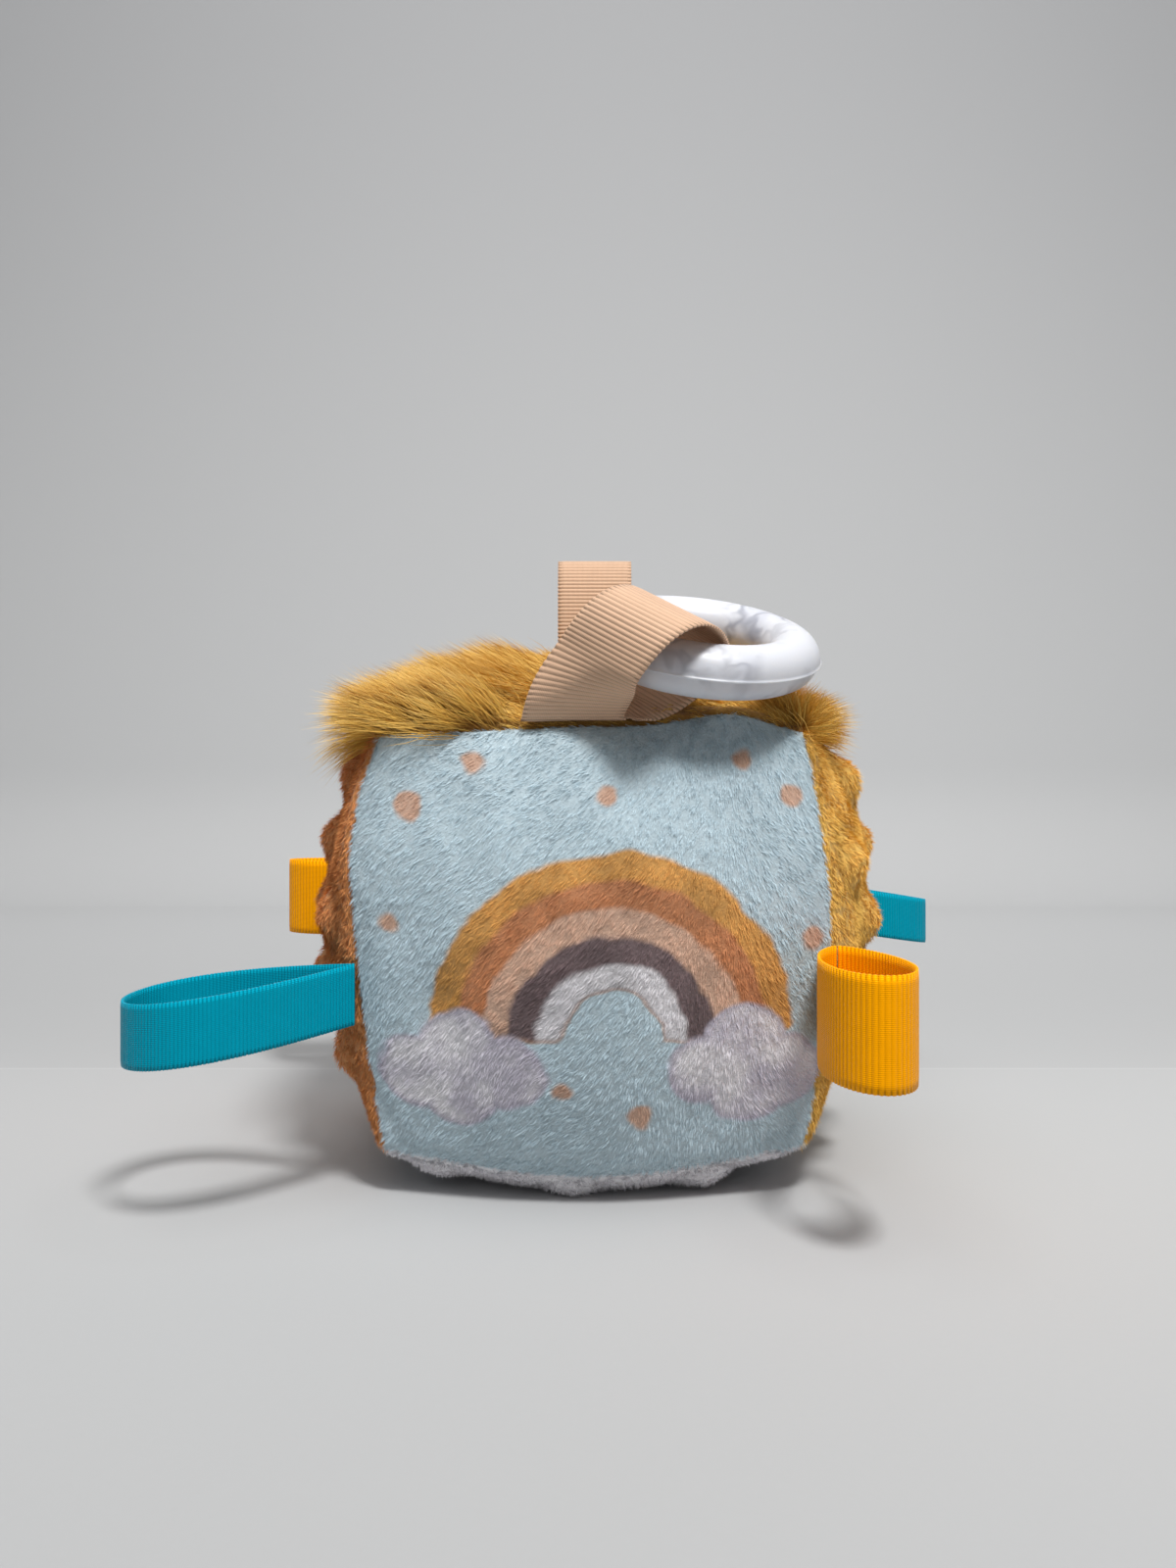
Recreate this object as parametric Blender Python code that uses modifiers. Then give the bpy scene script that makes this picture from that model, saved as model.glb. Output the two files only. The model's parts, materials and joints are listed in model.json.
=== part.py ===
"""A stuffed fabric block for a baby: six sewn panels over a fibre filling, six ribbon loops
caught in the seams, and a teething ring threaded on the front one.

The origin is on the table under the block's centre. +Z is up, the front panel faces -Y.
All lengths are in metres.
"""

import math

import bmesh
import bpy
import numpy as np
from mathutils import Matrix, Vector

# The stuffed body: the distances between opposite seams, how far each face swells past them,
# and how far its own weight presses the underside flat
BLOCK_WIDTH = 0.120
BLOCK_DEPTH = 0.118
BLOCK_HEIGHT = 0.110
CROWN = 0.017
CORNER_FILL = 0.002
CORNER_RISE = 0.006
FOOT_PRESS = 0.007
FOOT_CUT = 0.0005
FOOT_SOFTNESS = 0.001
SEAM_DRAW = 0.0012
SEAM_DRAW_SHARE = 1 / 6
PANEL_CELLS = 12

# The cloth: its skin with the pile's base, and the gaps between neighbouring pieces
SKIN = 0.0024
PILE_BODY = 0.0015
CLEARANCE = 0.0003
FILL_CLEARANCE = 0.0005
SEAM_GAP = 0.0005

# The raised dots of three panels, in staggered columns through one dot near the panel's middle
DOT_RADIUS = 0.0062
DOT_HEIGHT = 0.0042
DOT_SINK = 0.0009
DOT_PITCH = 0.01935
DOT_SEAM_MARGIN = 0.009
DOT_SIDES = 10
DOT_RINGS = 6
LEFT_DOT_SHARES = (-0.24, 0.295)
RIGHT_DOT_SHARES = (-1.29, 0.12)
BOTTOM_DOT_SHARES = (-0.345, -2.53)

# The ribbons
RIBBON_THICKNESS = 0.0006
WIDE_RIBBON = 0.025
NARROW_RIBBON = 0.015
ROOT_STAND = 0.00105
ROOT_TAIL = 0.0005
RIBBON_ROWS = 36
RIBBON_COLUMNS = 4

# How far each tag stands out of its seam, and how wide its loop opens
LEFT_FRONT_REACH = 0.054
LEFT_FRONT_OPENING = 0.037
RIGHT_FRONT_REACH = 0.045
RIGHT_FRONT_OPENING = 0.019
LEFT_REAR_REACH = 0.047
LEFT_REAR_OPENING = 0.018
RIGHT_REAR_REACH = 0.058
RIGHT_REAR_OPENING = 0.016
REAR_TOP_REACH = 0.061
REAR_TOP_OPENING = 0.013

# The teething ring: its centre from the block's middle and back from the front seam, and how far
# the fur holds it above its dense part
RING_OUTER = 0.061
RING_TUBE = 0.0136
RING_ASIDE = 0.0273
RING_BACK = 0.0121
RING_STAND = 0.0054
RING_PITCH = math.radians(22)
RING_ROLL = math.radians(6.5)
RING_SEGMENTS = 48
RING_SIDES = 14

# The strap that holds the ring: which way its far end lies from the ring's centre, how near its
# edges come to the ring, how far it swells over and under the rim, and how it leans and turns
STRAP_OFFSET = -0.0055
STRAP_END_SHARES = (-0.28, -0.60, 0.11)
STRAP_GAP = 0.000906086
STRAP_ABOVE = 0.0240
STRAP_BELOW = 0.0076
STRAP_PINCH = 0.68
STRAP_LEAN = math.radians(58)
STRAP_TURN = math.radians(-37)
STRAP_TILT = math.radians(27)
STRAP_TURN_SHARE = 0.3

SEAM_HALF = Vector((BLOCK_WIDTH, BLOCK_DEPTH, BLOCK_HEIGHT)) / 2
CENTRE_HEIGHT = BLOCK_HEIGHT / 2 + CROWN - FOOT_PRESS
DIAGONAL_SHARE = math.sqrt(1 / 2)
BALL_RADIUS = CROWN / (1 - DIAGONAL_SHARE)
SEARCH_STEPS = 40


def linear(red, green, blue):
    """Linear values of a colour given as it is seen, from 0 to 255."""
    return [((c / 255 + 0.055) / 1.055) ** 2.4 for c in (red, green, blue)] + [1.0]


def finish(obj, colour, roughness):
    """Give an object a smooth surface and a material of its own."""
    material = bpy.data.materials.new(obj.name)
    material.use_nodes = True
    shader = material.node_tree.nodes["Principled BSDF"]
    shader.inputs["Base Color"].default_value = colour
    shader.inputs["Roughness"].default_value = roughness
    obj.data.materials.clear()
    obj.data.materials.append(material)
    obj.data.shade_smooth()
    return obj


def mesh_object(name, bm, collection, place=(0, 0, 0)):
    """An object of a collection, made from a bmesh."""
    mesh = bpy.data.meshes.new(name)
    bm.to_mesh(mesh)
    bm.free()
    obj = bpy.data.objects.new(name, mesh)
    obj.location = place
    collection.objects.link(obj)
    return obj


def guide(obj):
    """Mark an object as a cutter or a guide, which isn't part of the block."""
    obj.hide_render = True
    obj.display_type = "WIRE"
    return obj


def seam_nearness(point):
    """0 over most of a face, rising to 1 on the seam round it."""
    second = sorted(abs(c) for c in point)[1]
    return max(0.0, (second - 1 + SEAM_DRAW_SHARE) / SEAM_DRAW_SHARE)


def pillow(point, inset=0.0):
    """Where a point of the unit cube lies on the stuffed body, inset below its outer skin."""
    point = Vector(point)
    reach = BALL_RADIUS - inset - SEAM_DRAW * seam_nearness(point)
    corner = (point.x * point.y * point.z) ** 2
    fill = Vector((CORNER_FILL, CORNER_FILL, CORNER_RISE)) * corner
    straight = SEAM_HALF - Vector((1, 1, 1)) * BALL_RADIUS * DIAGONAL_SHARE
    place = (straight + fill) * point + point.normalized() * reach
    floor = inset - FOOT_CUT
    above = (place.z + CENTRE_HEIGHT - floor) / FOOT_SOFTNESS
    place.z = floor + FOOT_SOFTNESS * float(np.logaddexp(0, above))
    return place


def pile_outset(point):
    """How far the long pile's dense part stands above the top panel's skin."""
    second = sorted(abs(c) for c in point)[1]
    return PILE_BODY * (1 - second**4)


def on_top(x, y, above):
    """The height that lies a given distance above the top panel's pile, over a place."""
    u = v = 0.0
    for _ in range(SEARCH_STEPS):
        place = pillow((u, v, 1), -pile_outset((u, v, 1)))
        u = max(-1.0, min(1.0, u + (x - place.x) / (SEAM_HALF.x + CROWN)))
        v = max(-1.0, min(1.0, v + (y - place.y) / (SEAM_HALF.y + CROWN)))
    return place.z + above


def face_frame(axis, side):
    """The matrix that takes (u, v, 1) on a flat square to one face of the unit cube."""
    out = Vector([side if i == axis else 0 for i in range(3)])
    up = Vector((0, 1, 0)) if axis == 2 else Vector((0, 0, 1))
    return Matrix((up.cross(out), up, out)).transposed()


def share_of(offset, axis):
    """The share of the unit cube's half side at a distance from the middle of a face."""
    low, high = -1.0, 1.0
    for _ in range(SEARCH_STEPS):
        middle = (low + high) / 2
        straight = SEAM_HALF[axis] - BALL_RADIUS * DIAGONAL_SHARE
        reach = straight * middle + BALL_RADIUS * middle / math.hypot(1, middle)
        low, high = (middle, high) if reach < offset else (low, middle)
    return low


def dot_places(axis, start_shares):
    """Cube shares of the dots' centres: staggered rows through one dot, placed in pitches."""
    first, second = [i for i in range(3) if i != axis]
    limits = [SEAM_HALF[i] - DOT_SEAM_MARGIN for i in (first, second)]
    count = math.ceil(2 * max(limits) / DOT_PITCH)
    places = []
    for row in range(-count, count + 1):
        for column in range(-count, count + 1):
            shares = (start_shares[0] + column, start_shares[1] + row)
            offsets = [share * DOT_PITCH for share in shares]
            inside = all(abs(o) < limit for o, limit in zip(offsets, limits))
            if (row + column) % 2 == 0 and inside:
                places.append({i: share_of(o, i) for i, o in zip((first, second), offsets)})
    return places


def dome():
    """One raised dot: a flattened ball, cut off and closed a little below its middle."""
    bm = bmesh.new()
    bmesh.ops.create_uvsphere(bm, u_segments=DOT_SIDES, v_segments=DOT_RINGS, radius=1)
    bmesh.ops.scale(bm, vec=(DOT_RADIUS, DOT_RADIUS, DOT_HEIGHT), verts=bm.verts)
    ball = bm.verts[:] + bm.edges[:] + bm.faces[:]
    bmesh.ops.bisect_plane(
        bm, geom=ball, plane_co=(0, 0, -DOT_SINK), plane_no=(0, 0, -1), clear_outer=True
    )
    bmesh.ops.holes_fill(bm, edges=[e for e in bm.edges if e.is_boundary])
    bmesh.ops.recalc_face_normals(bm, faces=bm.faces)
    mesh = bpy.data.meshes.new("dome")
    bm.to_mesh(mesh)
    bm.free()
    return mesh


def dots(name, axis, side, start_shares, cutters):
    """The raised dots of one panel: domes that sink a little into its skin."""
    bm = bmesh.new()
    step = 1 / PANEL_CELLS
    one = dome()
    for shares in dot_places(axis, start_shares):
        point = Vector([shares.get(i, side) for i in range(3)])
        seat = pillow(point)
        pressed_flush = seat.z <= 0
        if pressed_flush:
            continue
        along, up = (Vector([step if i == k else 0 for i in range(3)]) for k in sorted(shares))
        tangent = (pillow(point + along) - pillow(point - along)).normalized()
        out = tangent.cross(pillow(point + up) - pillow(point - up)).normalized()
        if out[axis] * side < 0:
            out.negate()
        frame = Matrix((tangent, out.cross(tangent), out)).transposed().to_4x4()
        before = len(bm.verts)
        bm.from_mesh(one)
        bm.verts.ensure_lookup_table()
        added = bm.verts[before:]
        bmesh.ops.transform(bm, matrix=Matrix.Translation(seat) @ frame, verts=added)
    return guide(mesh_object(name + "_dots", bm, cutters))


def panel(name, axis, side, collection, cutters, dot_shares=None, outset=None):
    """One sewn cloth square, crowned over the filling and mitred at its four seams."""
    frame = face_frame(axis, side)
    bm = bmesh.new()
    bmesh.ops.create_grid(bm, x_segments=PANEL_CELLS, y_segments=PANEL_CELLS, size=1)
    edge = 1 - SEAM_GAP / min(SEAM_HALF)
    for vert in bm.verts:
        u, v = (max(-edge, min(edge, c)) for c in vert.co.xy)
        vert.co = frame @ Vector((u, v, 1))
    under = bmesh.ops.extrude_face_region(bm, geom=bm.faces[:])["geom"]
    under = {g for g in under if isinstance(g, bmesh.types.BMVert)}
    for vert in bm.verts:
        raised = outset(vert.co) if outset else 0.0
        vert.co = pillow(vert.co, SKIN if vert in under else -raised)
    bmesh.ops.recalc_face_normals(bm, faces=bm.faces)
    bmesh.ops.triangulate(bm, faces=bm.faces[:], quad_method="SHORT_EDGE")
    obj = mesh_object(name, bm, collection)
    if dot_shares:
        union = obj.modifiers.new("raised_dots", "BOOLEAN")
        union.operation = "UNION"
        union.object = dots(name, axis, side, dot_shares, cutters)
    return obj


def stand_flat(obj, cutters):
    """Cut an object off level with the table."""
    bm = bmesh.new()
    bmesh.ops.create_cube(bm, size=1)
    side = 2 * (max(SEAM_HALF) + CROWN)
    depth = DOT_HEIGHT + CROWN
    bmesh.ops.scale(bm, vec=(side, side, depth), verts=bm.verts)
    cut = obj.modifiers.new("stands_flat", "BOOLEAN")
    cut.operation = "DIFFERENCE"
    cut.object = guide(mesh_object("table", bm, cutters, (0, 0, -depth / 2)))
    return obj


def filling(collection):
    """The fibre filling: the same stuffed form, just inside the cloth."""
    bm = bmesh.new()
    bmesh.ops.create_cube(bm, size=2)
    bmesh.ops.subdivide_edges(bm, edges=bm.edges[:], cuts=PANEL_CELLS - 1, use_grid_fill=True)
    for vert in bm.verts:
        vert.co = pillow(vert.co, SKIN + FILL_CLEARANCE)
    bmesh.ops.recalc_face_normals(bm, faces=bm.faces)
    bmesh.ops.triangulate(bm, faces=bm.faces[:], quad_method="SHORT_EDGE")
    return mesh_object("fibre_fill", bm, collection)


def teardrop(length, above, below, pinch):
    """A ribbon loop's centre line seen edge on: (along, across) from its sewn root and back."""
    half_root = (RIBBON_THICKNESS + CLEARANCE) / 2
    turns = [2 * math.pi * k / RIBBON_ROWS for k in range(RIBBON_ROWS + 1)]
    swells = [math.sin(turn) * abs(math.sin(turn / 2)) ** pinch for turn in turns]
    line = [(-ROOT_TAIL, half_root)]
    for turn, swell in zip(turns, swells):
        reach = (above if turn < math.pi else below) / max(swells)
        along = length * (1 - math.cos(turn)) / 2
        line.append((along, reach * swell + half_root * (1 - turn / math.pi)))
    return line + [(-ROOT_TAIL, -half_root)]


def ribbon(name, rows, root, collection):
    """A ribbon through rows of points, thickened both ways, with its origin at its root."""
    bm = bmesh.new()
    bmesh.ops.create_grid(bm, x_segments=len(rows[0]) - 1, y_segments=len(rows) - 1, size=1)
    for vert, point in zip(bm.verts, [point for row in rows for point in row]):
        vert.co = point - root
    obj = mesh_object(name, bm, collection, root)
    thicken = obj.modifiers.new("thickness", "SOLIDIFY")
    thicken.thickness = RIBBON_THICKNESS
    thicken.offset = 0
    return obj


def seam_root(seam_shares, width):
    """The hinge point of a ribbon: just clear of the bowed seam all along the ribbon's width."""
    outward = Vector([c if abs(c) == 1 else 0 for c in seam_shares]).normalized()
    middle = pillow(seam_shares)
    bow = 0.0
    for side in (-1, 1):
        for axis in range(3):
            beside = Vector(seam_shares)
            if not outward[axis]:
                beside[axis] += side * width / 2 / (SEAM_HALF[axis] + CROWN)
                bow = max(bow, (pillow(beside) - middle).dot(outward))
    return middle + outward * (ROOT_STAND + bow)


def tag(name, seam_shares, heading, climb, width, reach, opening, pinch, collection):
    """A ribbon loop that stands out of a seam, with its width along that seam."""
    root = seam_root(seam_shares, width)
    turned = Matrix.Rotation(math.radians(heading), 3, "Z")
    along = turned @ Matrix.Rotation(math.radians(-climb), 3, "Y") @ Vector((1, 0, 0))
    over = Vector([0 if abs(c) == 1 else 1 for c in seam_shares])
    across = over.cross(along).normalized()
    rows = []
    for a, b in teardrop(reach, opening / 2, opening / 2, pinch):
        middle = root + along * a + across * b
        rows.append([middle + over * width * share for share in (-1 / 2, 1 / 2)])
    return ribbon(name, rows, root, collection)


def ring_place():
    """The ring's rotation and its centre, held over the top panel's pile."""
    turned = Matrix.Rotation(RING_ROLL, 3, "Y") @ Matrix.Rotation(RING_PITCH, 3, "X")
    radius = (RING_OUTER - RING_TUBE) / 2
    turns = [2 * math.pi * k / RING_SEGMENTS for k in range(RING_SEGMENTS)]
    rim = [turned @ Vector((math.cos(t), math.sin(t), 0)) * radius for t in turns]
    centre = Vector((RING_ASIDE, RING_BACK - SEAM_HALF.y, 0))
    rest = RING_TUBE / 2 + RING_STAND
    centre.z = max(on_top(centre.x + p.x, centre.y + p.y, rest) - p.z for p in rim)
    return turned, centre


def strap_rows(far):
    """Rows of points along the strap, its loop's far end a given distance from the ring's centre."""
    root = seam_root((STRAP_OFFSET / SEAM_HALF.x, -1, 1), WIDE_RIBBON)
    end = ring_place()[1] + Vector(STRAP_END_SHARES).normalized() * far
    length = (end - root).length
    along = (end - root) / length
    above = (Vector((0, 0, 1)) - along * along.z).normalized()
    above = Matrix.Rotation(STRAP_LEAN, 3, along) @ above
    rest = CLEARANCE + RIBBON_THICKNESS
    rows = []
    for a, b in teardrop(length, STRAP_ABOVE, STRAP_BELOW, STRAP_PINCH):
        middle = root + along * a + above * b
        share = max(0.0, min(1.0, a / length / STRAP_TURN_SHARE))
        share = share * share * (3 - 2 * share)
        turned = Matrix.Rotation(STRAP_TURN * share, 3, "Z")
        cross = turned @ Matrix.Rotation(STRAP_TILT * share, 3, "Y") @ Vector((1, 0, 0))
        row = []
        for column in range(RIBBON_COLUMNS + 1):
            point = middle + cross * WIDE_RIBBON * (column / RIBBON_COLUMNS - 1 / 2)
            point.z = max(point.z, on_top(point.x, point.y, rest))
            row.append(point)
        rows.append(row)
    return root, rows


def ring_gap(rows):
    """How near the ribbon's edges come to the ring's surface."""
    turned, centre = ring_place()
    radius = (RING_OUTER - RING_TUBE) / 2
    gaps = []
    for row in rows:
        for point in (row[0], row[-1]):
            x, y, z = turned.inverted() @ (point - centre)
            gaps.append(math.hypot(math.hypot(x, y) - radius, z) - RING_TUBE / 2)
    return min(gaps)


def strap(collection):
    """The loop that carries the ring: it arches over the ring's rim and comes back under it, and
    its far end reaches out from the ring's centre until the hole holds the ribbon's edges."""
    near, far = 0.0, RING_OUTER / 2 - RING_TUBE
    for _ in range(SEARCH_STEPS):
        middle = (near + far) / 2
        held = ring_gap(strap_rows(middle)[1]) < STRAP_GAP
        near, far = (near, middle) if held else (middle, far)
    root, rows = strap_rows(near)
    return ribbon("ring_loop", rows, root, collection)


def ring(collection):
    """The teething ring, lying over the pile with its far rim higher."""
    turned, centre = ring_place()
    bpy.ops.mesh.primitive_torus_add(
        major_radius=(RING_OUTER - RING_TUBE) / 2,
        minor_radius=RING_TUBE / 2,
        major_segments=RING_SEGMENTS,
        minor_segments=RING_SIDES,
        location=centre,
        rotation=turned.to_euler(),
    )
    obj = bpy.context.object
    obj.name = "teething_ring"
    for old in obj.users_collection:
        old.objects.unlink(obj)
    collection.objects.link(obj)
    return obj


def build():
    for obj in list(bpy.data.objects):
        bpy.data.objects.remove(obj, do_unlink=True)
    block = bpy.data.collections.new("soft_fabric_block")
    cutters = bpy.data.collections.new("cutters")
    for collection in (block, cutters):
        bpy.context.scene.collection.children.link(collection)

    blue, mustard, rust = linear(168, 192, 200), linear(222, 176, 88), linear(176, 116, 66)
    grey, teal, orange = linear(198, 192, 200), linear(0, 138, 158), linear(238, 152, 8)
    beige, white = linear(190, 154, 124), linear(238, 238, 240)
    plush, satin, silicone = 0.95, 0.6, 0.35

    finish(panel("front_panel", 1, -1, block, cutters), blue, plush)
    finish(panel("back_panel", 1, 1, block, cutters), blue, plush)
    finish(panel("left_panel", 0, -1, block, cutters, LEFT_DOT_SHARES), rust, plush)
    finish(panel("right_panel", 0, 1, block, cutters, RIGHT_DOT_SHARES), mustard, plush)
    finish(panel("top_panel", 2, 1, block, cutters, outset=pile_outset), mustard, plush)
    bottom = panel("bottom_panel", 2, -1, block, cutters, BOTTOM_DOT_SHARES)
    finish(stand_flat(bottom, cutters), grey, plush)
    finish(filling(block), white, plush)

    finish(strap(block), beige, satin)
    finish(ring(block), white, silicone)

    # Each tag's place on its seam
    tag_seam_shares = {
        "left_front_tag": (-1, -1, -0.24),
        "right_front_tag": (1, -1, -0.25),
        "left_rear_tag": (-1, 1, 0),
        "right_rear_tag": (1, 1, 0),
        "rear_top_tag": (0.01, 1, 1),
    }
    # The degrees that each tag heads round from +X and climbs
    tag_headings = {
        "left_front_tag": (190, -7),
        "right_front_tag": (-88, 0),
        "left_rear_tag": (171, 0),
        "right_rear_tag": (7, -9),
        "rear_top_tag": (90, 90),
    }
    # Each tag's ribbon, reach and opening, how far out its loop is widest, and its colour
    tag_sizes = {
        "left_front_tag": (NARROW_RIBBON, LEFT_FRONT_REACH, LEFT_FRONT_OPENING, 1.1, teal),
        "right_front_tag": (WIDE_RIBBON, RIGHT_FRONT_REACH, RIGHT_FRONT_OPENING, 0.5, orange),
        "left_rear_tag": (WIDE_RIBBON, LEFT_REAR_REACH, LEFT_REAR_OPENING, 0.8, orange),
        "right_rear_tag": (NARROW_RIBBON, RIGHT_REAR_REACH, RIGHT_REAR_OPENING, 0.8, teal),
        "rear_top_tag": (WIDE_RIBBON, REAR_TOP_REACH, REAR_TOP_OPENING, 0.8, beige),
    }
    for name, seam_shares in tag_seam_shares.items():
        *size, colour = tag_sizes[name]
        finish(tag(name, seam_shares, *tag_headings[name], *size, block), colour, satin)


build()
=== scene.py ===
"""The looks of the soft fabric block: plush panels with their pile, grosgrain ribbon loops and
a marbled silicone ring, on a pale floor. All lengths are in metres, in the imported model's frame.
"""

import json
import math

import bmesh
import bpy
import numpy as np
from mathutils import Matrix, Vector
from mathutils.bvhtree import BVHTree


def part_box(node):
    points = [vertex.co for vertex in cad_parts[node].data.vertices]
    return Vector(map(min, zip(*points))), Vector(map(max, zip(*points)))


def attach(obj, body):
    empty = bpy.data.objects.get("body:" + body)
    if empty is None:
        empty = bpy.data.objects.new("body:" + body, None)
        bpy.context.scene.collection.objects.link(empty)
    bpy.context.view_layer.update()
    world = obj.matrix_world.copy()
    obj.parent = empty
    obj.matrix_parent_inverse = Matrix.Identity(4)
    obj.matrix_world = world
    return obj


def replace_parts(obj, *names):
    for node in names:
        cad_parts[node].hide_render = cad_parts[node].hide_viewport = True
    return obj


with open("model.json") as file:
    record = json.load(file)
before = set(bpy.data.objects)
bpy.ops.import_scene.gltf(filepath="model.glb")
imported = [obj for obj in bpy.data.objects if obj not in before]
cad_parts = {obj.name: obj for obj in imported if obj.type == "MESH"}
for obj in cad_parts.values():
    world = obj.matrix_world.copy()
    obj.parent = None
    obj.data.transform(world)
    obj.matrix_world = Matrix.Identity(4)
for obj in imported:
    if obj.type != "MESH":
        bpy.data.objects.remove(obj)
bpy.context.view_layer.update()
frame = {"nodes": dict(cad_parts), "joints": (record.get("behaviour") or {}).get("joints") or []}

# The stuffed body, as the solids have it
BLOCK_WIDTH = 0.120
BLOCK_DEPTH = 0.118
BLOCK_HEIGHT = 0.110
CROWN = 0.017
CORNER_FILL = 0.002
CORNER_RISE = 0.006
FOOT_PRESS = 0.007
FOOT_CUT = 0.0005
FOOT_SOFTNESS = 0.001
SEAM_DRAW = 0.0012
SEAM_DRAW_SHARE = 1 / 6
SKIN = 0.0024
FILL_CLEARANCE = 0.0005
PILE_BODY = 0.0015
SEAM_HALF = np.array([BLOCK_WIDTH, BLOCK_DEPTH, BLOCK_HEIGHT]) / 2
CENTRE_HEIGHT = BLOCK_HEIGHT / 2 + CROWN - FOOT_PRESS
DIAGONAL_SHARE = math.sqrt(1 / 2)
BALL_RADIUS = CROWN / (1 - DIAGONAL_SHARE)
STRAIGHT_HALF = SEAM_HALF - BALL_RADIUS * DIAGONAL_SHARE
SEARCH_STEPS = 40

# How the sewn panels differ from the plain form: the tucked seams and the filling's lumps
SEAM_TUCK = 0.0016
SEAM_TUCK_SHARE = 0.035
PANEL_CELLS = 110
LUMP_HEIGHT = 0.0007
LUMP_SPACING = 0.028
LUMP_SEED = 3
LUMP_ROOM = 0.0002
PUCKER_HEIGHT = 0.0006
PUCKER_SPACING = 0.011
PUCKER_SEED = 5
PUCKER_SHARES = (0.72, 0.97)
FILLING_CUTS = 30

# Where the filling pushes the cloth out further: a place on the unit cube, the share of the cube
# that it reaches over, and how far it pushes
BULGES = [
    ((-1, -1, 0.55), 0.42, (-0.0044, 0.0, 0.0)),
    ((1, -0.2, 0.6), 0.42, (0.0040, 0.0, 0.0)),
    ((0.6, -1, 1), 0.28, (0.0, -0.0010, 0.0044)),
    ((-0.1, -1, -1), 0.85, (0.0, 0.0, -0.0045)),
]

# The raised dots of three panels: the place of one dot, in pitches, and the dots' height
DOT_RADIUS = 0.0094
DOT_PITCH = 0.01935
DOT_SEAM_MARGIN = 0.009
# How far from a dot's middle the pile's painted highlight and painted shade reach
DOT_SHADE_RADIUS = 0.0118
DOTS = {
    "left_panel": ((-0.24, 0.295), 0.0040),
    "right_panel": ((-1.29, 0.12), 0.0046),
    "bottom_panel": ((-0.345, -2.53), 0.0026),
}

# The ribbons
RIBBON_THICKNESS = 0.0006
WIDE_RIBBON = 0.025
NARROW_RIBBON = 0.015
CLEARANCE = 0.0003
ROOT_STAND = 0.00105
ROOT_TAIL = 0.0005
RIB_HEIGHT = 0.00016
RIB_ROUNDNESS = 0.6
SELVEDGE_SHARE = 0.9
SELVEDGE_THINNING = 0.25
SELVEDGE_BEAD = 0.00022
WIDE_RIB_PITCH = 0.0013
NARROW_RIB_PITCH = 0.0009
RIBBON_ROW = 0.00033
RIBBON_COLUMNS = np.linspace(-0.5, 0.5, 13)
RIBBON_TURNS = 240

# The ring
RING_TUBE = 0.0136
RING_SEAM_RIDGE = 0.00045
RING_SEAM_STEP = 0.00045
RING_SEAM_ANGLE = 0.045
RING_SEGMENTS = 160
RING_SIDES = 72
RING_SEAM_CROWDING = 0.8

# Colours, as they are seen, from 0 to 255
BLUE = (200, 219, 228)
MUSTARD = (246, 200, 104)
RUST = (232, 162, 102)
# The underside's grey is set near white: painted light that lifts the shade under the block
UNDERSIDE_GREY_PAINTED_LIGHT = (252, 250, 253)
TEAL = (0, 150, 176)
ORANGE = (255, 168, 0)
BEIGE = (213, 177, 149)
WHITE = (212, 214, 220)
VEIN_GREY = (122, 125, 138)
HAZE_GREY = (180, 183, 196)
FIBRE_WHITE = (236, 236, 238)
FUR_GROUND = (190, 140, 66)
# The fur's root colour is its ochre darkened as painted shade; its straw tips are partly painted
# highlight
FUR_ROOT_PAINTED_SHADE = (168, 118, 50)
FUR_GOLD = (232, 188, 90)
FUR_DEEP_GOLD = (216, 170, 76)
FUR_STRAW_AND_HIGHLIGHT = (236, 198, 116)


# Shapes worked out over arrays of points

TINY = 1e-12
NUDGE = 1e-9
WAVE_COUNT = 9
WAVE_STRETCH = (0.6, 1.5)


def unit(vectors):
    """Vectors of length one, along the last axis."""
    lengths = np.linalg.norm(vectors, axis=-1, keepdims=True)
    return vectors / np.maximum(lengths, TINY)


def smooth(values, start, end):
    """0 before start, 1 after end, and a soft step between."""
    share = np.clip((values - start) / (end - start), 0, 1)
    return share * share * (3 - 2 * share)


def waves(points, spacing, seed):
    """A gentle random field of about -1 to 1 with bumps a given distance apart."""
    rng = np.random.default_rng(seed)
    directions = unit(rng.normal(size=(WAVE_COUNT, 3))) * (2 * math.pi / spacing)
    directions *= rng.uniform(*WAVE_STRETCH, (WAVE_COUNT, 1))
    phases = rng.uniform(0, 2 * math.pi, WAVE_COUNT)
    return np.sin(points @ directions.T + phases).sum(-1) / math.sqrt(WAVE_COUNT)


def pillow(points, inset=0.0):
    """Where points of the unit cube lie on the stuffed body, inset below its outer skin."""
    second = np.sort(np.abs(points), axis=-1)[..., 1]
    nearness = np.maximum(0, (second - 1 + SEAM_DRAW_SHARE) / SEAM_DRAW_SHARE)
    reach = BALL_RADIUS - inset - SEAM_DRAW * nearness
    corner = np.prod(points, axis=-1)[..., None] ** 2
    fill = np.array([CORNER_FILL, CORNER_FILL, CORNER_RISE]) * corner
    place = (STRAIGHT_HALF + fill) * points + unit(points) * reach[..., None]
    return on_floor(place, inset)


def on_floor(place, inset):
    """Points raised to the body's middle height and kept from sinking through the table."""
    floor = np.min(inset) - FOOT_CUT
    above = (place[..., 2] + CENTRE_HEIGHT - floor) / FOOT_SOFTNESS
    place[..., 2] = floor + FOOT_SOFTNESS * np.logaddexp(0, above)
    return place


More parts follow.
